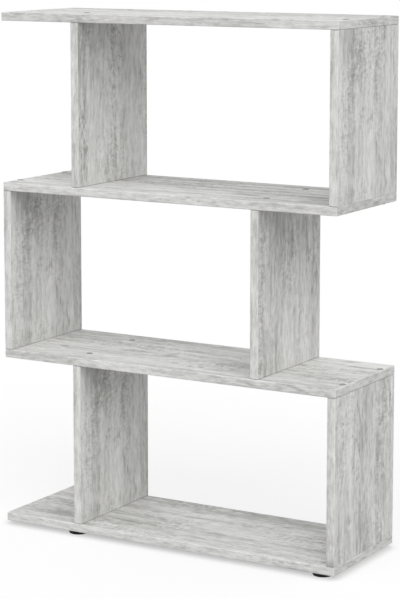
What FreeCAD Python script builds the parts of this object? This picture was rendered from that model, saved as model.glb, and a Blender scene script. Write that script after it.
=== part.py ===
import FreeCAD, Part
import math
import os

# A room divider bookcase: four long boards, and between them three tiers of two uprights.
# Every tier has one upright flush with an end and one set in from the other end, and the
# middle tier is turned round, so that the open ends alternate from side to side.
# X runs along the width, Y from front to back, Z up. The origin is on the floor, in the
# middle of the width and of the depth. Lengths are in millimetres.

# Driving dimensions
WIDTH = 705.0
DEPTH = 240.0
BOARD = 16.0  # thickness of every panel
CLEAR = 304.0  # clear height of a tier, which is an upright's length
OVERHANG = 155.0  # from an open end to the outer face of the inset upright
FOOT_HEIGHT = 7.0

# Edge banding, glued round the edges that show
BAND = 2.0
BAND_ROUND = 1.8

# One-piece connector screws, two at each end of an upright
SCREW_INSET = 45.0  # from the front or back edge to the screw's axis
SCREW_LENGTH = 50.0
SCREW_RECESS = 0.3  # the head sits this far below the board's face
HEAD_RADIUS = 5.0
HEAD_RIM = 0.8
HEAD_DEPTH = 4.2
NECK_RADIUS = 3.5
NECK_END = 17.0  # depth at which the plain neck ends and the thread starts
THREAD_CORE = 2.5
THREAD_PITCH = 3.0
THREAD_RIDGE = 1.2  # height of one ridge along the axis
THREAD_END = 46.0
TIP_RADIUS = 1.0
SOCKET_FLATS = 4.0
SOCKET_DEPTH = 3.0

# Plastic caps over the screw heads
CAP_RADIUS = 6.0
CAP_RIM = 0.4
CAP_HEIGHT = 1.1
CAP_BEVEL = 1.2  # width of the sloping rim, seen from above
PEG_RADIUS = 1.9
PEG_LENGTH = 2.5

# Wooden dowels, one in the middle of each joint
DOWEL_RADIUS = 4.0
DOWEL_IN_BOARD = 10.0
DOWEL_IN_UPRIGHT = 20.0
DOWEL_CHAMFER = 1.0
DOWEL_SPARE = 1.0  # the hole is this much deeper than the dowel at each end

# Round feet, each held by a countersunk wood screw
FOOT_RADIUS = 19.0
FOOT_TAPER = 1.2  # the radius lost from the top of the side to its foot
FOOT_ROUND = 1.5
FOOT_INSET_Y = 22.0  # from the front or back edge to the foot's axis
FOOT_INSET_RIGHT = 33.0  # from the right end to the axis of the right feet
FOOT_INSET_LEFT = 151.0  # from the left end to the axis of the left feet
FOOT_HOLE = 2.2
FOOT_RECESS = 2.5  # the screw's head is this far above the floor
FOOT_RECESS_RADIUS = 4.6
WOOD_SCREW_LENGTH = 16.0
WOOD_SCREW_HEAD = 4.0
WOOD_SCREW_RADIUS = 2.0
WOOD_SCREW_CORE = 1.4
WOOD_SCREW_PITCH = 1.8
WOOD_SCREW_RIDGE = 0.8
WOOD_SCREW_SHANK = 4.5  # depth below the head's face at which the thread starts
DRIVE_RADIUS = 1.6
DRIVE_WIDTH = 0.8
DRIVE_DEPTH = 1.4

# Derived places
LEFT, RIGHT = -WIDTH / 2, WIDTH / 2
FRONT, BACK = -DEPTH / 2, DEPTH / 2
STEP = BOARD + CLEAR  # from one board's underside to the next board's underside
BOARDS = ["base_board", "lower_shelf", "upper_shelf", "top_board"]
BOARD_Z = {name: FOOT_HEIGHT + k * STEP for k, name in enumerate(BOARDS)}
OPEN_LEFT = {"left": LEFT + OVERHANG, "right": RIGHT - BOARD}
OPEN_RIGHT = {"left": LEFT, "right": RIGHT - OVERHANG - BOARD}
TIERS = {"lower": OPEN_LEFT, "middle": OPEN_RIGHT, "upper": OPEN_LEFT}
SCREW_ROWS = [FRONT + SCREW_INSET, BACK - SCREW_INSET]
FOOT_ROWS = {"front": FRONT + FOOT_INSET_Y, "rear": BACK - FOOT_INSET_Y}
FOOT_SIDES = {"left": LEFT + FOOT_INSET_LEFT, "right": RIGHT - FOOT_INSET_RIGHT}

ORIGIN = FreeCAD.Vector(0, 0, 0)
UP = FreeCAD.Vector(0, 0, 1)
ALONG = FreeCAD.Vector(1, 0, 0)
TOUCH = 1e-6  # two lengths closer than this are the same


def box(xs, ys, zs):
    """A box between pairs of planes, each pair given in any order."""
    low = FreeCAD.Vector(min(xs), min(ys), min(zs))
    high = FreeCAD.Vector(max(xs), max(ys), max(zs))
    size = high - low
    return Part.makeBox(size.x, size.y, size.z, low)


def turned(points):
    """A solid of revolution about Z from a closed outline of (radius, height) points."""
    corners = [FreeCAD.Vector(r, 0, z) for r, z in points]
    outline = Part.makePolygon(corners + corners[:1])
    return Part.Face(outline).revolve(ORIGIN, UP, 360)


def placed(solid, x, y, z, upside_down=False):
    """A copy of a solid that was made at the origin, set at a point, turned over if asked."""
    copy = solid.copy()
    if upside_down:
        copy.rotate(ORIGIN, ALONG, 180)
    copy.translate(FreeCAD.Vector(x, y, z))
    return copy


def in_plane(edge, axis, place):
    """Whether both ends of an edge lie in the plane where an axis has the given value."""
    return all(abs(getattr(v.Point, axis) - place) < TOUCH for v in edge.Vertexes)


def runs_along(edge, axis):
    """Whether an edge is a straight one along the named axis."""
    first, last = (v.Point for v in edge.Vertexes)
    return abs(abs(getattr(last - first, axis)) - edge.Length) < TOUCH


def is_circle(edge, radius, z):
    """Whether an edge is a level circle of the given radius at the given height."""
    curve = edge.Curve
    if not isinstance(curve, Part.Circle):
        return False
    return abs(curve.Radius - radius) < TOUCH and abs(curve.Center.z - z) < TOUCH


def thread_points(core, crest, pitch, ridge, start, end):
    """Outline points of a row of thread ridges, from depth start down to depth end."""
    points = []
    for k in range(int((end - start) / pitch)):
        depth = start + k * pitch
        points += [(core, -depth), (crest, -depth - ridge / 2), (core, -depth - ridge)]
    return points


def connector_screw(headroom=0.0):
    """The screw's outer form, its head's face at the origin and its tip down.

    The hole that the screw leaves has headroom above that face, up to the board's own face.
    """
    thread = thread_points(
        THREAD_CORE, NECK_RADIUS, THREAD_PITCH, THREAD_RIDGE, NECK_END, THREAD_END
    )
    return turned(
        [(0, headroom), (HEAD_RADIUS, headroom), (HEAD_RADIUS, -HEAD_RIM)]
        + [(NECK_RADIUS, -HEAD_DEPTH), (NECK_RADIUS, -NECK_END)]
        + thread
        + [(THREAD_CORE, -THREAD_END), (TIP_RADIUS, -SCREW_LENGTH), (0, -SCREW_LENGTH)]
    )


def hex_socket():
    """The six-sided pocket in a connector screw's head."""
    reach = SOCKET_FLATS / math.sqrt(3)
    corners = []
    for k in range(6):
        angle = math.radians(60 * k)
        corners.append(FreeCAD.Vector(reach * math.cos(angle), reach * math.sin(angle), 0))
    pocket = Part.Face(Part.makePolygon(corners + corners[:1]))
    return pocket.extrude(FreeCAD.Vector(0, 0, -SOCKET_DEPTH))


def cover_cap():
    """A low cap with a bevelled rim and a peg for the screw's socket, its underside at the origin."""
    return turned(
        [(0, CAP_HEIGHT), (0, -PEG_LENGTH), (PEG_RADIUS, -PEG_LENGTH), (PEG_RADIUS, 0)]
        + [(CAP_RADIUS, 0), (CAP_RADIUS, CAP_RIM), (CAP_RADIUS - CAP_BEVEL, CAP_HEIGHT)]
    )


def dowel():
    """A dowel on end, its origin where the joint's two panels meet, with the board below it."""
    low, high = -DOWEL_IN_BOARD, DOWEL_IN_UPRIGHT
    end_radius = DOWEL_RADIUS - DOWEL_CHAMFER
    return turned(
        [(0, low), (end_radius, low), (DOWEL_RADIUS, low + DOWEL_CHAMFER)]
        + [(DOWEL_RADIUS, high - DOWEL_CHAMFER), (end_radius, high), (0, high)]
    )


def dowel_hole():
    """The bore for a dowel, through both panels of a joint."""
    length = DOWEL_IN_BOARD + DOWEL_IN_UPRIGHT + 2 * DOWEL_SPARE
    return Part.makeCylinder(
        DOWEL_RADIUS, length, FreeCAD.Vector(0, 0, -DOWEL_IN_BOARD - DOWEL_SPARE)
    )


def wood_screw():
    """The outer form of a foot's screw, its head's face at the origin and its tip down."""
    head_depth = WOOD_SCREW_HEAD - WOOD_SCREW_RADIUS
    thread_end = WOOD_SCREW_LENGTH - WOOD_SCREW_PITCH
    thread = thread_points(
        WOOD_SCREW_CORE, WOOD_SCREW_RADIUS, WOOD_SCREW_PITCH, WOOD_SCREW_RIDGE,
        WOOD_SCREW_SHANK, thread_end,
    )
    return turned(
        [(0, 0), (WOOD_SCREW_HEAD, 0), (WOOD_SCREW_RADIUS, -head_depth)]
        + [(WOOD_SCREW_RADIUS, -WOOD_SCREW_SHANK)]
        + thread
        + [(WOOD_SCREW_CORE, -thread_end), (0, -WOOD_SCREW_LENGTH)]
    )


def drive_cross():
    """The cross-shaped drive in a wood screw's head, as two crossed slots."""
    slot = box(
        (-DRIVE_RADIUS, DRIVE_RADIUS), (-DRIVE_WIDTH / 2, DRIVE_WIDTH / 2), (-DRIVE_DEPTH, 0)
    )
    second = slot.copy()
    second.rotate(ORIGIN, UP, 90)
    return slot.fuse(second)


def foot():
    """A round foot standing on the floor, with the seat of its screw open from below."""
    low_radius = FOOT_RADIUS - FOOT_TAPER
    seat_top = FOOT_RECESS + FOOT_RECESS_RADIUS - FOOT_HOLE
    body = turned(
        [(FOOT_RECESS_RADIUS, 0), (low_radius, 0), (FOOT_RADIUS, FOOT_HEIGHT)]
        + [(FOOT_HOLE, FOOT_HEIGHT), (FOOT_HOLE, seat_top), (FOOT_RECESS_RADIUS, FOOT_RECESS)]
    )
    rim = [edge for edge in body.Edges if is_circle(edge, low_radius, 0)]
    return body.makeFillet(FOOT_ROUND, rim)


def upright_ends():
    """Both ends of every upright, as (upright, tier, centre x, board, face the screws enter)."""
    ends = []
    for k, (tier, places) in enumerate(TIERS.items()):
        for side, x0 in places.items():
            upright = f"{tier}_{side}_upright"
            centre = x0 + BOARD / 2
            ends.append((upright, tier, centre, BOARDS[k], "underside"))
            ends.append((upright, tier, centre, BOARDS[k + 1], "top"))
    return ends


def fasteners():
    """The screws, caps and dowels as {node: [solids]}, and their holes as {panel: [solids]}."""
    nodes, holes = {}, {}
    screw = connector_screw().cut(hex_socket())
    screw_hole = connector_screw(SCREW_RECESS)
    cap, pin, pin_hole = cover_cap(), dowel(), dowel_hole()

    def add(group, name, solid):
        group.setdefault(name, []).append(solid)

    for upright, tier, x, board, face in upright_ends():
        low, high = BOARD_Z[board], BOARD_Z[board] + BOARD
        from_below = face == "underside"
        # The screws enter by one face of the board, and the upright stands against the other
        entry, joint = (low, high) if from_below else (high, low)
        head = entry + SCREW_RECESS if from_below else entry - SCREW_RECESS
        for y in SCREW_ROWS:
            add(nodes, f"{board}_{face}_screws", placed(screw, x, y, head, from_below))
            if board != "base_board":
                add(nodes, f"{board}_{face}_caps", placed(cap, x, y, entry, from_below))
            for panel in (board, upright):
                add(holes, panel, placed(screw_hole, x, y, head, from_below))
        add(nodes, f"{tier}_dowels", placed(pin, x, 0, joint, not from_below))
        for panel in (board, upright):
            add(holes, panel, placed(pin_hole, x, 0, joint, not from_below))
    return nodes, holes


def feet():
    """The feet and their screws as {node: [solids]}, and the screws' holes in the base board."""
    nodes, pilots = {"foot_screws": []}, []
    body, pilot = foot(), wood_screw()
    screw = pilot.cut(drive_cross())
    for row, y in FOOT_ROWS.items():
        for side, x in FOOT_SIDES.items():
            nodes[f"foot_{row}_{side}"] = [placed(body, x, y, 0)]
            nodes["foot_screws"].append(placed(screw, x, y, FOOT_RECESS, True))
            pilots.append(placed(pilot, x, y, FOOT_RECESS, True))
    return nodes, pilots


def face_bands(name, xs, zs):
    """The bands on a panel's front and back edges, rounded all round their outer faces."""
    bands = {}
    for side, outer, inner in (("front", FRONT, FRONT + BAND), ("back", BACK, BACK - BAND)):
        strip = box(xs, (outer, inner), zs)
        edges = [e for e in strip.Edges if not in_plane(e, "y", inner)]
        bands[f"{name}_{side}_band"] = [strip.makeFillet(BAND_ROUND, edges)]
    return bands


def end_bands(name, zs):
    """The bands on a board's two ends, between the front and the back band."""
    bands = {}
    for side, outer, inner in (("left", LEFT, LEFT + BAND), ("right", RIGHT, RIGHT - BAND)):
        strip = box((outer, inner), (FRONT + BAND, BACK - BAND), zs)
        edges = [e for e in strip.Edges if in_plane(e, "x", outer) and runs_along(e, "y")]
        bands[f"{name}_{side}_band"] = [strip.makeFillet(BAND_ROUND, edges)]
    return bands


def panel_core(xs, zs, holes):
    """A panel without its bands, drilled."""
    core = box(xs, (FRONT + BAND, BACK - BAND), zs)
    for hole in holes:
        core = core.cut(hole)
    return core


def build():
    """Every piece of the bookcase as {node: [solids]}."""
    nodes, holes = fasteners()
    foot_nodes, pilots = feet()
    nodes.update(foot_nodes)
    holes["base_board"] += pilots
    for name, z0 in BOARD_Z.items():
        zs = (z0, z0 + BOARD)
        nodes[name] = [panel_core((LEFT + BAND, RIGHT - BAND), zs, holes[name])]
        nodes.update(face_bands(name, (LEFT, RIGHT), zs))
        nodes.update(end_bands(name, zs))
    # An upright's ends are bare, inside the joints
    for below, (tier, places) in zip(BOARDS, TIERS.items()):
        z0 = BOARD_Z[below] + BOARD
        zs = (z0, z0 + CLEAR)
        for side, x0 in places.items():
            name = f"{tier}_{side}_upright"
            xs = (x0, x0 + BOARD)
            nodes[name] = [panel_core(xs, zs, holes[name])]
            nodes.update(face_bands(name, xs, zs))
    return nodes


def main():
    """Write one file for each node, where a node of several solids is a compound."""
    os.makedirs("parts", exist_ok=True)
    for name, solids in build().items():
        shape = solids[0] if len(solids) == 1 else Part.makeCompound(solids)
        shape.exportStep(f"parts/{name}.step")


main()
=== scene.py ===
import math
from collections import namedtuple

import bpy
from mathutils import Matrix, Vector


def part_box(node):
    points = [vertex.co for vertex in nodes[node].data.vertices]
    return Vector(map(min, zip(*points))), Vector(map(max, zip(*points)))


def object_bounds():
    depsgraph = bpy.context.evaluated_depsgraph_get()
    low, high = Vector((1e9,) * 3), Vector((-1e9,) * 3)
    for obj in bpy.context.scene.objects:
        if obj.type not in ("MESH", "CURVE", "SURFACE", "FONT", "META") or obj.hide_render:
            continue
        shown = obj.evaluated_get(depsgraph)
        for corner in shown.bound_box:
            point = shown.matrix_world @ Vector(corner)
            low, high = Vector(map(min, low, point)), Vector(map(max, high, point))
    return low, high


# The looks of the room divider bookcase. Every solid keeps its shape and gets a procedural finish.
# Lengths are in metres, in the part's own frame: X along the width, Y from front to back, Z up.

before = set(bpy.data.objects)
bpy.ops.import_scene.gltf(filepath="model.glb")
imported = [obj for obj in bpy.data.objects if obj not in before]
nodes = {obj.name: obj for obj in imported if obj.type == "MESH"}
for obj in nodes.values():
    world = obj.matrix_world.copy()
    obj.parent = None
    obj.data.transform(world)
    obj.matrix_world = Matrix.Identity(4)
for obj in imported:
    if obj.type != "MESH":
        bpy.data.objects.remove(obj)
cad_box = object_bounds()
PANELS = [name for name in nodes if name.endswith(("_board", "_shelf", "_upright"))]
BANDS = [name for name in nodes if name.endswith("_band")]

# Camera, to the front right of the object and a little above its top board
CAMERA_PLACE = (1.987, -3.345, 1.146)
CAMERA_YAW = math.radians(30.608)
CAMERA_PITCH = math.radians(7.685)  # downwards
CAMERA_LENS = 127.3  # millimetres
CAMERA_SHIFT_Y = -0.15
CAMERA_REACH = 60.0

# Light: an even dome and soft lamps, placed in degrees. A colour renders about as it is written
WHITE = (1.0, 1.0, 1.0, 1.0)
DOME_STRENGTH = 0.70
LAMPS = {
    "key": {"azimuth": 45.0, "height": 40.0, "strength": 1.20, "spread": 50.0},
    "front": {"azimuth": 0.0, "height": 40.0, "strength": 0.68, "spread": 50.0},
}

# Floor
FLOOR_RADIUS = 14.0
FLOOR_CORNERS = 96
FLOOR_SEEN = (0.95, 0.95, 0.95, 1.0)
FLOOR_BOUNCE = (0.5, 0.5, 0.5, 1.0)  # what the floor sends back up as light
FLOOR_LIFT = 0.7  # how far the floor's own shading is lifted towards white in the picture
CONTACT_REACH = 0.022  # the dark line of the contact shadow ends this far from the object
CONTACT_TONE = 0.74  # its darkest tone, where no more than CONTACT_OPEN of the view upwards is open
CONTACT_OPEN = 0.5

# Decor colours and roughness, from the darkest streak to the whitest wash, and the finish
TONE_SPAN = (-0.5, 0.5)  # the tones that they belong to
DECOR_DARK = (0.306, 0.304, 0.290, 1.0)
DECOR_MID = (0.620, 0.618, 0.605, 1.0)
DECOR_LIGHT = (0.835, 0.832, 0.818, 1.0)
DECOR_ROUGHNESS = (0.62, 0.5)
DECOR_GLOSS = 0.2
Bump = namedtuple("Bump", "strength depth")
DECOR_BUMP = Bump(0.35, 0.0001)
BAND_BROAD = 0.3  # how much of the broad streaks and of the saw's marks the narrow edge bands show
BAND_SAWN = 0.2

# Layers of the grain: noise with so many cells per metre along and across it. The weight is the
# layer's share of the tone, or metres where the layer bends the grain
Layer = namedtuple("Layer", "along across detail weight roughness", defaults=[0.5])
WANDER = Layer(1.8, 7.0, 1.0, 0.03)
RIPPLE = Layer(24.0, 40.0, 2.0, 0.005)
BROAD_STREAKS = [
    Layer(1.5, 6.0, 1.0, 0.50),
    Layer(1.6, 24.0, 1.0, 0.36),
    Layer(2.2, 52.0, 1.0, 0.40),
]
CLOUDS = Layer(9.0, 30.0, 2.0, 0.22)
FINE_STREAKS = [
    Layer(7.0, 80.0, 2.0, 0.42),
    Layer(45.0, 150.0, 2.0, 0.54),
]
FIBRES = Layer(55.0, 620.0, 3.0, 0.52, 0.6)
SAW_WAVE = Layer(14.0, 60.0, 2.0, 0.02)
SAW_MARKS = [
    Layer(240.0, 34.0, 1.0, 0.36),
    Layer(150.0, 105.0, 2.0, 0.66),
]
CURLS = Layer(80.0, 170.0, 2.0, 1.3)

# Patches of the grain: they begin where such a noise is over low and are full where it is over high
Patches = namedtuple("Patches", "along across detail low high roughness", defaults=[0.5])
PORES = Patches(70.0, 1300.0, 1.0, 0.60, 0.70)
FLECKS = Patches(34.0, 300.0, 2.0, 0.58, 0.72)
SAWN_PATCHES = Patches(6.0, 14.0, 2.0, 0.34, 0.72)
FLECK_PATCHES = Patches(5.0, 22.0, 2.0, 0.45, 0.62)
LINE_PATCHES = Patches(2.5, 8.0, 2.0, 0.50, 0.66)
CRACK_PATCHES = Patches(7.0, 30.0, 1.0, 0.60, 0.70)

# Lines of the grain, along the contours of such a noise: the count of contours as the noise goes
# from 0 to 1, and half a line's width as a share of the way from one contour to the next
Lines = namedtuple("Lines", "along across detail count half_width roughness", defaults=[0.5])
GROWTH_LINES = Lines(1.0, 8.0, 1.5, 26.0, 0.16)
CRACKS = Lines(1.2, 20.0, 2.0, 8.0, 0.10)
CRACKLE = Lines(40.0, 130.0, 3.0, 3.0, 0.16, 0.6)

# What the hollows of the grain add to its tone and to its relief
PORE_TONE = -0.16
FLECK_TONE = -0.12
LINE_TONE = -0.12
CRACK_TONE = -0.30
HOLLOW_RELIEF = -0.5

# Knots of the grain
KNOT_CELLS = (3.0, 12.0, 12.0)  # cells per metre along, across and into the grain, each with a knot
KNOT_FADE = (0.10, 0.40)  # in cells, how far from its middle a knot is full and where it ends
KNOT_SPREAD = 0.5  # a point on a knot takes its grain from this far along the way to the middle

# Sheets of the print. A panel takes one, and its bands' sheets are so many steps further on
SHEET_STEP = Vector((0.093, 0.071, 0.049))  # from one sheet to the next
PRINT_SHEETS = {
    "base_board": 1401,
    "lower_shelf": 2106,
    "upper_shelf": 2366,
    "top_board": 1792,
    "lower_left_upright": 1837,
    "lower_right_upright": 1861,
    "middle_left_upright": 1837,
    "middle_right_upright": 433,
    "upper_left_upright": 517,
    "upper_right_upright": 1837,
}
BAND_SHEETS = {"front": 185, "back": 190, "left": 195, "right": 200}

# The plainest knots, cracks and streaks, set on a panel's sheet, and two soft patches of painted shade
# beside uprights' feet: the middle along and across the grain from the panel's corner of least X, Y and
# Z, half the length and width, how much darker it is there (below 0: paler), and how crackled. Panels on
# the same sheet show the same marks
Mark = namedtuple("Mark", "along across half_length half_width dark crackle")
PRINT_AND_SHADE_MARKS = {
    "upper_left_upright": [
        Mark(0.085, 0.016, 0.110, 0.018, 0.08, 1.0),
        Mark(0.040, 0.125, 0.062, 0.005, 0.14, 0.0),
        Mark(0.275, 0.124, 0.030, 0.004, 0.06, 0.0),
        Mark(0.268, 0.047, 0.034, 0.013, -0.10, 0.0),
    ],
    "middle_left_upright": [
        Mark(0.250, 0.078, 0.050, 0.028, 0.10, 0.5),
        Mark(0.130, 0.126, 0.028, 0.016, 0.05, 0.9),
        Mark(0.069, 0.162, 0.012, 0.003, 0.40, 0.0),
        Mark(0.091, 0.152, 0.022, 0.005, 0.18, 0.0),
        Mark(0.043, 0.217, 0.024, 0.010, 0.06, 0.0),
        Mark(0.034, 0.186, 0.032, 0.007, -0.14, 0.0),
        Mark(0.250, 0.220, 0.026, 0.006, -0.12, 0.0),
        Mark(0.100, 0.040, 0.130, 0.028, -0.09, 0.0),
    ],
    "middle_right_upright": [
        Mark(0.227, 0.127, 0.042, 0.009, 0.26, 0.0),
        Mark(0.199, 0.197, 0.018, 0.024, 0.06, 1.0),
        Mark(0.163, 0.220, 0.028, 0.015, 0.04, 0.5),
        Mark(0.065, 0.212, 0.036, 0.010, 0.10, 0.0),
        Mark(0.055, 0.067, 0.065, 0.005, 0.06, 0.0),
    ],
    "lower_right_upright": [
        Mark(0.206, 0.099, 0.032, 0.011, 0.16, 0.0),
        Mark(0.184, 0.169, 0.038, 0.011, 0.16, 0.0),
        Mark(0.132, 0.195, 0.026, 0.014, 0.05, 0.9),
        Mark(0.061, 0.058, 0.022, 0.012, 0.05, 0.8),
        Mark(0.046, 0.099, 0.032, 0.012, 0.12, 0.0),
        Mark(0.120, 0.118, 0.130, 0.014, -0.09, 0.0),
        Mark(0.275, 0.225, 0.022, 0.008, -0.22, 0.0),
        Mark(0.021, 0.192, 0.026, 0.008, -0.18, 0.0),
    ],
    "base_board": [
        Mark(0.381, 0.151, 0.085, 0.007, 0.13, 0.0),
        Mark(0.236, 0.065, 0.038, 0.013, 0.13, 0.5),
        Mark(0.403, 0.073, 0.055, 0.008, 0.09, 0.0),
        Mark(0.090, 0.050, 0.042, 0.015, 0.08, 0.6),
        Mark(0.598, 0.146, 0.038, 0.015, 0.16, 0.0),
    ],
    "lower_shelf": [
        Mark(0.222, 0.109, 0.036, 0.018, 0.18, 0.4),
        Mark(0.302, 0.106, 0.022, 0.022, 0.18, 0.4),
        Mark(0.078, 0.080, 0.012, 0.009, 0.20, 0.0),
        Mark(0.665, 0.187, 0.048, 0.007, 0.30, 0.0),
        Mark(0.672, 0.080, 0.034, 0.006, 0.22, 0.0),
        # Painted shade: the soft shadow on the shelf beside the middle right upright's foot
        Mark(0.465, 0.087, 0.060, 0.034, 0.15, 0.0),
        Mark(0.375, 0.048, 0.050, 0.013, -0.08, 0.0),
    ],
    "upper_shelf": [
        Mark(0.491, 0.072, 0.048, 0.010, 0.22, 0.3),
        Mark(0.333, 0.098, 0.032, 0.008, 0.18, 0.0),
        # Painted shade: the soft shadow on the shelf beside the upper right upright's foot
        Mark(0.640, 0.072, 0.055, 0.045, 0.12, 0.0),
    ],
}
MARK_FADE = (0.3, 1.1)  # in half sizes, how far from its middle a mark is full and where it ends
MARK_RAGGED = Layer(30.0, 110.0, 2.0, 1.2)  # unevenness of that distance

# Rounded edges with wear and a painted highlight, and painted shade at the joints
EDGE_WEAR_AND_HIGHLIGHT = 0.10  # how much paler the rounded edges are: rubbed by handling, and a painted highlight
EDGE_NORMAL = (0.75, 0.98)  # the normal's largest part where an edge is fully paler, and on flat faces
JOINT_SHADE_WIDTH = 0.0013  # width and tone of the line of painted shade where an upright meets a board
JOINT_SHADE_TONE = 0.5
JOINT_SHADE_FULL = 0.6 * JOINT_SHADE_WIDTH  # the line has its full tone up to here
JOINT_SHADE_SKIN = 0.5 * JOINT_SHADE_WIDTH  # faces no further than this from the bookcase's ends have no line

# Plastic, zinc and beech. Textures are in cells per metre, and a mottle is a share of the colour
NOISE_SPAN = (0.3, 0.7)  # most of a noise lies between these
CAP_COLOUR = (0.28, 0.28, 0.27, 1.0)
CAP_ROUGHNESS = 0.45
CAP_MOTTLE = 0.08
FOOT_COLOUR = (0.004, 0.004, 0.004, 1.0)
FOOT_ROUGHNESS = 0.5
FOOT_MOTTLE = 0.2
PLASTIC_GLOSS = 0.2
PLASTIC_UNEVEN = 0.06  # change of the roughness either way
PLASTIC_CLOUDS = (120.0, 120.0, 120.0)
PLASTIC_TEXTURE = (2600.0, 2600.0, 2600.0)
PLASTIC_BUMP = Bump(0.3, 0.00008)
ZINC_DULL = (0.50, 0.50, 0.47, 1.0)
ZINC_BRIGHT = (0.62, 0.62, 0.60, 1.0)
ZINC_ROUGHNESS = (0.25, 0.42)
ZINC_SPANGLE = (420.0, 420.0, 420.0)
ZINC_TURNING = (60.0, 60.0, 3000.0)
ZINC_BUMP = Bump(0.2, 0.00005)
BEECH_COLOUR = (0.56, 0.36, 0.18, 1.0)
BEECH_SHADE = 0.72  # the darker streaks' share of that colour
BEECH_ROUGHNESS = (0.7, 0.55)
BEECH_STREAKS = (900.0, 900.0, 45.0)
BEECH_BUMP = Bump(0.4, 0.0002)


def add(tree, kind, inputs=None, **settings):
    """A new node, its settings made, and its inputs given values or linked to other nodes' outputs."""
    made = tree.nodes.new(kind)
    for key, value in settings.items():
        setattr(made, key, value)
    for key, value in (inputs or {}).items():
        if isinstance(value, bpy.types.NodeSocket):
            tree.links.new(value, made.inputs[key])
        else:
            made.inputs[key].default_value = value
    return made


def calc(tree, operation, a, b=0.0, c=0.0):
    """The output of one Math node."""
    return add(tree, "ShaderNodeMath", {0: a, 1: b, 2: c}, operation=operation).outputs[0]


def vector(tree, operation, a, b=(0.0, 0.0, 0.0)):
    """The vector output of one Vector Math node."""
    return add(tree, "ShaderNodeVectorMath", {0: a, 1: b}, operation=operation).outputs[0]


def parts(tree, place):
    """The X, Y and Z outputs of a vector."""
    return add(tree, "ShaderNodeSeparateXYZ", {0: place}).outputs


def remap(tree, value, low, high, to_low=0.0, to_high=1.0):
    """A value carried from one range to another, smoothly and clamped."""
    inputs = {"Value": value, 1: low, 2: high, 3: to_low, 4: to_high}
    return add(tree, "ShaderNodeMapRange", inputs, interpolation_type="SMOOTHSTEP").outputs[0]


def blend(tree, amount, first, second):
    """A colour between two others."""
    return add(tree, "ShaderNodeMix", {0: amount, 6: first, 7: second}, data_type="RGBA").outputs[2]


def noise(tree, place, scale, detail=2.0, roughness=0.5):
    """Noise from 0 to 1 over a place stretched by a scale for each axis, in cells per metre."""
    stretched = vector(tree, "MULTIPLY", place, scale)
    inputs = {"Vector": stretched, "Scale": 1.0, "Detail": detail, "Roughness": roughness}
    return add(tree, "ShaderNodeTexNoise", inputs).outputs[0]


def own_place(tree):
    """The point's place in the part's frame."""
    return add(tree, "ShaderNodeTexCoord").outputs["Object"]


def shifted(tree, place, axis, amount):
    """A place moved along one of its axes."""
    move = add(tree, "ShaderNodeCombineXYZ", {axis: amount}).outputs[0]
    return vector(tree, "ADD", place, move)


def centred(tree, value, weight, total=0.0):
    """Adds a value from 0 to 1, taken about its middle and weighted, to a running total."""
    return calc(tree, "MULTIPLY_ADD", calc(tree, "SUBTRACT", value, 0.5), weight, total)


def grain_noise(tree, place, kind):
    """The noise, from 0 to 1, of one kind of layer, patches or lines."""
    return noise(tree, place, (kind.along, kind.across, kind.across), kind.detail, kind.roughness)


def layered(tree, place, layers, total=0.0):
    """Adds layers of the grain to a running total."""
    for layer in layers:
        total = centred(tree, grain_noise(tree, place, layer), layer.weight, total)
    return total


def patchy(tree, place, kind):
    """1 in the middle of patches, 0 outside them."""
    return remap(tree, grain_noise(tree, place, kind), kind.low, kind.high)


def lined(tree, place, kind):
    """1 in the middle of lines, 0 outside them."""
    phase = calc(tree, "FRACT", calc(tree, "MULTIPLY", grain_noise(tree, place, kind), kind.count))
    nearness = calc(tree, "ABSOLUTE", calc(tree, "SUBTRACT", phase, 0.5))
    return remap(tree, nearness, 0.5 - kind.half_width, 0.5)


def knots(tree, place):
    """Long knots: how near a place is to one, from 0 to 1, and the way across the grain to its middle."""
    cells = vector(tree, "MULTIPLY", place, KNOT_CELLS)
    found = add(tree, "ShaderNodeTexVoronoi", {"Vector": cells, "Scale": 1.0}).outputs
    near = remap(tree, found["Distance"], *KNOT_FADE, 1.0, 0.0)
    across = parts(tree, vector(tree, "SUBTRACT", found["Position"], cells))["Y"]
    return near, calc(tree, "DIVIDE", across, KNOT_CELLS[1])


def bent_place(tree, place, amount):
    """A place moved sideways, so that the grain wanders, ripples and goes round knots.

    Also gives how near the place is to a knot.
    """
    near_knot, to_knot = knots(tree, place)
    spread = calc(tree, "MULTIPLY", near_knot, KNOT_SPREAD)
    bend = calc(tree, "MULTIPLY_ADD", spread, to_knot, layered(tree, place, [WANDER]))
    bend = layered(tree, place, [RIPPLE], bend)
    return shifted(tree, place, "Y", calc(tree, "MULTIPLY", bend, amount)), near_knot


def saw_marks(tree, place, amount):
    """What faint wavy marks and lines of the saw, across the grain and in patches, add to the tone."""
    wavy = shifted(tree, place, "X", layered(tree, place, [SAW_WAVE]))
    shown = calc(tree, "MULTIPLY", patchy(tree, place, SAWN_PATCHES), amount)
    return calc(tree, "MULTIPLY", layered(tree, wavy, SAW_MARKS), shown)


def grain_hollows(tree, place, bent, crackle):
    """The hollows of the grain, from 0 to 1, each with what it adds to the tone."""
    flecks = calc(tree, "MULTIPLY", patchy(tree, bent, FLECKS), patchy(tree, place, FLECK_PATCHES))
    lines = calc(tree, "MULTIPLY", lined(tree, bent, GROWTH_LINES), patchy(tree, place, LINE_PATCHES))
    cracks = calc(tree, "MULTIPLY", lined(tree, bent, CRACKS), patchy(tree, place, CRACK_PATCHES))
    crackled = calc(tree, "MULTIPLY", lined(tree, bent, CRACKLE), crackle)
    return [
        (patchy(tree, bent, PORES), PORE_TONE),
        (flecks, FLECK_TONE),
        (lines, LINE_TONE),
        (calc(tree, "MAXIMUM", cracks, crackled), CRACK_TONE),
    ]


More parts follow.
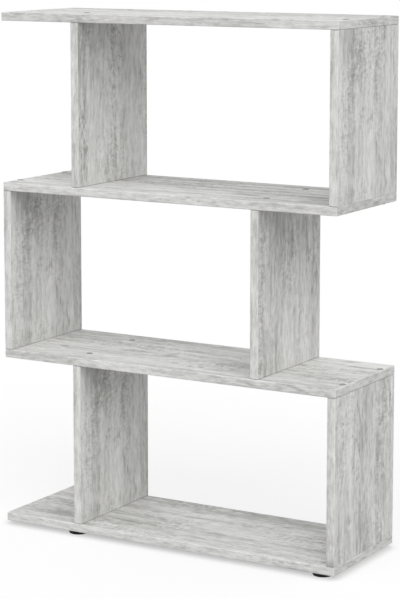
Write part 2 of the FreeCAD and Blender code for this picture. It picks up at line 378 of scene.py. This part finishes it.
def grain_group():
    """The printed grain as a node group. A place along, across and into it gives a tone and a relief.

    Broad, Sawn and Crackle are the amounts of broad streaks, of the saw's marks and of crackle.
    """
    group = bpy.data.node_groups.new("washed_grain", "ShaderNodeTree")
    group.interface.new_socket("Place", in_out="INPUT", socket_type="NodeSocketVector")
    for amount in ("Broad", "Sawn", "Crackle"):
        group.interface.new_socket(amount, in_out="INPUT", socket_type="NodeSocketFloat")
    for result in ("Tone", "Relief"):
        group.interface.new_socket(result, in_out="OUTPUT", socket_type="NodeSocketFloat")
    given = group.nodes.new("NodeGroupInput").outputs
    place = given["Place"]
    bent, near_knot = bent_place(group, place, given["Broad"])
    streaks = layered(group, bent, BROAD_STREAKS)
    broad = layered(group, place, [CLOUDS], streaks)
    tone = calc(group, "MULTIPLY", broad, given["Broad"])
    tone = layered(group, bent, FINE_STREAKS, tone)
    fibres = grain_noise(group, bent, FIBRES)
    tone = centred(group, fibres, FIBRES.weight, tone)
    tone = calc(group, "ADD", tone, saw_marks(group, place, given["Sawn"]))
    curls = layered(group, bent, [CURLS])
    tone = calc(group, "MULTIPLY_ADD", curls, given["Crackle"], tone)
    deepest = 0.0
    crackle = calc(group, "MAXIMUM", near_knot, given["Crackle"])
    for hollow, darker in grain_hollows(group, place, bent, crackle):
        tone = calc(group, "MULTIPLY_ADD", hollow, darker, tone)
        deepest = calc(group, "MAXIMUM", hollow, deepest)
    relief = calc(group, "MULTIPLY_ADD", deepest, HOLLOW_RELIEF, fibres)
    add(group, "NodeGroupOutput", {"Tone": tone, "Relief": relief})
    return group


GRAIN = grain_group()


def empty_tree(owner):
    """The node tree of a material or a world, with nothing in it."""
    owner.use_nodes = True
    owner.node_tree.nodes.clear()
    return owner.node_tree


def new_material(name):
    """A material with a shader, its tree and that shader."""
    made = bpy.data.materials.new(name)
    tree = empty_tree(made)
    shader = add(tree, "ShaderNodeBsdfPrincipled")
    add(tree, "ShaderNodeOutputMaterial", {"Surface": shader.outputs[0]})
    return made, tree, shader


def set_looks(tree, shader, colour, roughness, height, bump):
    """Links a colour, a roughness and a fine relief to a shader."""
    inputs = {"Height": height, "Strength": bump.strength, "Distance": bump.depth}
    normal = add(tree, "ShaderNodeBump", inputs).outputs[0]
    tree.links.new(colour, shader.inputs["Base Color"])
    tree.links.new(roughness, shader.inputs["Roughness"])
    tree.links.new(normal, shader.inputs["Normal"])


def grain_axes(name):
    """The frame's axes along, across and into the grain of a panel or a band."""
    upright = "_upright" in name
    if not name.endswith("_band"):
        return "ZYX" if upright else "XYZ"
    if upright:
        return "ZXY"
    return "XZY" if name.endswith(("_front_band", "_back_band")) else "YZX"


def print_sheet(name):
    """The number of the sheet that a panel is cut from. Its bands come from sheets further on."""
    if name in PRINT_SHEETS:
        return PRINT_SHEETS[name]
    panel, side, _ = name.rsplit("_", 2)
    return PRINT_SHEETS[panel] + BAND_SHEETS[side]


def grain_place(tree, name):
    """The point's place along, across and into the grain, on the sheet that the piece is cut from."""
    corner = Vector(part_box(name)[0])
    inside = parts(tree, vector(tree, "SUBTRACT", own_place(tree), corner))
    picked = {socket: inside[axis] for socket, axis in zip("XYZ", grain_axes(name))}
    turned = add(tree, "ShaderNodeCombineXYZ", picked).outputs[0]
    return vector(tree, "ADD", turned, SHEET_STEP * print_sheet(name))


def print_and_shade_marks(tree, name, place):
    """How much darker, and how crackled, the marks and painted shade on a panel's sheet make it at a
    place.
    """
    sheet = print_sheet(name)
    alike = [panel for panel in PRINT_AND_SHADE_MARKS if PRINT_SHEETS[panel] == sheet]
    ragged = layered(tree, place, [MARK_RAGGED])
    dark = 0.0
    crackle = 0.0
    for mark in [mark for panel in alike for mark in PRINT_AND_SHADE_MARKS[panel]]:
        middle = SHEET_STEP * sheet + Vector((mark.along, mark.across, 0.0))
        spread = (1 / mark.half_length, 1 / mark.half_width, 0.0)
        way = vector(tree, "MULTIPLY", vector(tree, "SUBTRACT", place, middle), spread)
        distance = add(tree, "ShaderNodeVectorMath", {0: way}, operation="LENGTH").outputs["Value"]
        near = remap(tree, calc(tree, "ADD", distance, ragged), *MARK_FADE, 1.0, 0.0)
        dark = calc(tree, "MULTIPLY_ADD", near, mark.dark, dark)
        crackle = calc(tree, "MAXIMUM", calc(tree, "MULTIPLY", near, mark.crackle), crackle)
    return dark, crackle


def joint_shade(tree, name):
    """1 over an upright's faces, falling at its two ends: a thin line of painted shade in the joint.

    At the bookcase's own ends the rounded bands' shaded grooves make that line, so the faces there have
    none.
    """
    low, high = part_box(name)
    x, _, z = parts(tree, own_place(tree))
    to_foot = calc(tree, "SUBTRACT", z, low[2])
    to_head = calc(tree, "SUBTRACT", high[2], z)
    to_end = calc(tree, "MINIMUM", to_foot, to_head)
    line = remap(tree, to_end, JOINT_SHADE_FULL, JOINT_SHADE_WIDTH, JOINT_SHADE_TONE, 1.0)
    to_outside = calc(tree, "SUBTRACT", cad_box[1][0], calc(tree, "ABSOLUTE", x))
    outside = remap(tree, to_outside, JOINT_SHADE_SKIN, JOINT_SHADE_WIDTH, 1.0, 0.0)
    return calc(tree, "MAXIMUM", line, outside)


def rubbed_and_highlit_edges(tree):
    """0 on flat faces, rising to 1 along the rounded edges."""
    normal = add(tree, "ShaderNodeNewGeometry").outputs["Normal"]
    x, y, z = parts(tree, vector(tree, "ABSOLUTE", normal))
    largest = calc(tree, "MAXIMUM", calc(tree, "MAXIMUM", x, y), z)
    return remap(tree, largest, *EDGE_NORMAL, 1.0, 0.0)


def decor_colour(tree, tone):
    """The print's colour for a tone."""
    ramp = add(tree, "ShaderNodeValToRGB", {0: remap(tree, tone, *TONE_SPAN)})
    stops = ramp.color_ramp.elements
    stops[0].color = DECOR_DARK
    stops[1].color = DECOR_LIGHT
    stops.new(0.5).color = DECOR_MID
    return ramp.outputs[0]


def decor_material(name):
    """The grey washed decor of one panel or band."""
    made, tree, shader = new_material(f"decor_{name}")
    is_band = name.endswith("_band")
    place = grain_place(tree, name)
    dark, crackle = print_and_shade_marks(tree, name, place)
    amounts = {
        "Place": place,
        "Broad": BAND_BROAD if is_band else 1.0,
        "Sawn": BAND_SAWN if is_band else 1.0,
        "Crackle": crackle,
    }
    grain = add(tree, "ShaderNodeGroup", amounts, node_tree=GRAIN).outputs
    tone = calc(tree, "SUBTRACT", grain["Tone"], dark)
    if is_band:
        # Paler rounded edges on the bands: wear, and a painted highlight
        tone = calc(tree, "MULTIPLY_ADD", rubbed_and_highlit_edges(tree), EDGE_WEAR_AND_HIGHLIGHT, tone)
    colour = decor_colour(tree, tone)
    # Painted shade: a thin dark line on the upright's faces at its joints with the boards
    if "_upright" in name:
        scale = {0: colour, "Scale": joint_shade(tree, name)}
        colour = add(tree, "ShaderNodeVectorMath", scale, operation="SCALE").outputs[0]
    roughness = remap(tree, tone, *TONE_SPAN, *DECOR_ROUGHNESS)
    set_looks(tree, shader, colour, roughness, grain["Relief"], DECOR_BUMP)
    shader.inputs["Specular IOR Level"].default_value = DECOR_GLOSS
    return made


def shade(colour, share):
    """A colour made darker or lighter by a share."""
    return [part * share for part in colour[:3]] + [1.0]


def plastic_material(name, colour, roughness, mottle):
    """Moulded plastic: a fine sparkle of texture, and small changes of tone and gloss."""
    made, tree, shader = new_material(name)
    clouds = noise(tree, own_place(tree), PLASTIC_CLOUDS, detail=3.0)
    mottled = blend(tree, clouds, shade(colour, 1 - mottle), shade(colour, 1 + mottle))
    uneven = (roughness - PLASTIC_UNEVEN, roughness + PLASTIC_UNEVEN)
    texture = noise(tree, own_place(tree), PLASTIC_TEXTURE)
    set_looks(tree, shader, mottled, remap(tree, clouds, *NOISE_SPAN, *uneven), texture, PLASTIC_BUMP)
    shader.inputs["Specular IOR Level"].default_value = PLASTIC_GLOSS
    return made


def zinc_material():
    """Zinc plating with fine turning lines and a mottled gloss."""
    made, tree, shader = new_material("zinc_plating")
    spangle = noise(tree, own_place(tree), ZINC_SPANGLE, detail=3.0)
    colour = blend(tree, spangle, ZINC_DULL, ZINC_BRIGHT)
    roughness = remap(tree, spangle, *NOISE_SPAN, *ZINC_ROUGHNESS)
    turning = noise(tree, own_place(tree), ZINC_TURNING, detail=1.0)
    set_looks(tree, shader, colour, roughness, turning, ZINC_BUMP)
    shader.inputs["Metallic"].default_value = 1.0
    return made


def beech_material():
    """Plain beech, its grain along the dowels."""
    made, tree, shader = new_material("beech")
    streaks = noise(tree, own_place(tree), BEECH_STREAKS, detail=4.0, roughness=0.6)
    colour = blend(tree, streaks, shade(BEECH_COLOUR, BEECH_SHADE), BEECH_COLOUR)
    roughness = remap(tree, streaks, *NOISE_SPAN, *BEECH_ROUGHNESS)
    set_looks(tree, shader, colour, roughness, streaks, BEECH_BUMP)
    return made


def dress(name, material):
    """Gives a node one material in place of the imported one."""
    slots = nodes[name].data.materials
    slots.clear()
    slots.append(material)


def dress_all():
    """Materials for every node."""
    for name in PANELS + BANDS:
        dress(name, decor_material(name))
    cap = plastic_material("cap_plastic", CAP_COLOUR, CAP_ROUGHNESS, CAP_MOTTLE)
    foot = plastic_material("foot_plastic", FOOT_COLOUR, FOOT_ROUGHNESS, FOOT_MOTTLE)
    zinc = zinc_material()
    beech = beech_material()
    for name in nodes:
        if name.endswith("_caps"):
            dress(name, cap)
        elif name.endswith("_screws"):
            dress(name, zinc)
        elif name.endswith("_dowels"):
            dress(name, beech)
        elif name.startswith("foot_"):
            dress(name, foot)


def seen_directly(tree):
    """1 for a ray that shows the surface itself or its mirror image, 0 for one that carries light."""
    path = add(tree, "ShaderNodeLightPath").outputs
    mirrored = calc(tree, "MAXIMUM", path["Is Glossy Ray"], path["Is Transmission Ray"])
    return calc(tree, "MAXIMUM", path["Is Camera Ray"], mirrored)


def mix_shaders(tree, amount, first, second):
    """The output of a shader between two others."""
    inputs = {0: amount, 1: first.outputs[0], 2: second.outputs[0]}
    return add(tree, "ShaderNodeMixShader", inputs).outputs[0]


def make_world():
    """An even dome of light, which the camera sees as white."""
    world = bpy.data.worlds.new("studio")
    bpy.context.scene.world = world
    tree = empty_tree(world)
    dome = add(tree, "ShaderNodeBackground", {"Color": WHITE, "Strength": DOME_STRENGTH})
    white = add(tree, "ShaderNodeBackground", {"Color": WHITE, "Strength": 1.0})
    surface = mix_shaders(tree, seen_directly(tree), dome, white)
    add(tree, "ShaderNodeOutputWorld", {"Surface": surface})


def make_floor():
    """A pale round floor that keeps the object's shadow."""
    bpy.ops.mesh.primitive_circle_add(vertices=FLOOR_CORNERS, radius=FLOOR_RADIUS, fill_type="NGON")
    floor = bpy.context.object
    floor.name = "floor"
    made = bpy.data.materials.new("floor")
    tree = empty_tree(made)
    seen = seen_directly(tree)
    lit = add(tree, "ShaderNodeBsdfDiffuse", {"Color": blend(tree, seen, FLOOR_BOUNCE, FLOOR_SEEN)})
    view_up = add(tree, "ShaderNodeAmbientOcclusion", {"Distance": CONTACT_REACH}).outputs["AO"]
    contact = remap(tree, view_up, CONTACT_OPEN, 1.0, CONTACT_TONE, 1.0)
    white = add(tree, "ShaderNodeEmission", {"Color": WHITE, "Strength": contact})
    surface = mix_shaders(tree, calc(tree, "MULTIPLY", seen, FLOOR_LIFT), lit, white)
    add(tree, "ShaderNodeOutputMaterial", {"Surface": surface})
    floor.data.materials.append(made)


def make_lamps():
    """Wide soft lamps. Azimuth 0 is the front and 90 the right."""
    for name, lamp in LAMPS.items():
        data = bpy.data.lights.new(name, "SUN")
        data.energy = lamp["strength"]
        data.angle = math.radians(lamp["spread"])
        sun = bpy.data.objects.new(name, data)
        sun.rotation_euler = (math.radians(90 - lamp["height"]), 0, math.radians(lamp["azimuth"]))
        bpy.context.scene.collection.objects.link(sun)


def make_camera():
    """The view of the photograph, tilted a little and shifted a little in place of its level camera."""
    data = bpy.data.cameras.new("camera")
    data.lens = CAMERA_LENS
    data.shift_y = CAMERA_SHIFT_Y
    data.clip_end = CAMERA_REACH
    camera = bpy.data.objects.new("camera", data)
    camera.location = CAMERA_PLACE
    camera.rotation_euler = (math.pi / 2 - CAMERA_PITCH, 0, CAMERA_YAW)
    bpy.context.scene.collection.objects.link(camera)
    bpy.context.scene.camera = camera


dress_all()
make_world()
make_floor()
make_lamps()
make_camera()
bpy.context.scene.view_settings.view_transform = "Standard"
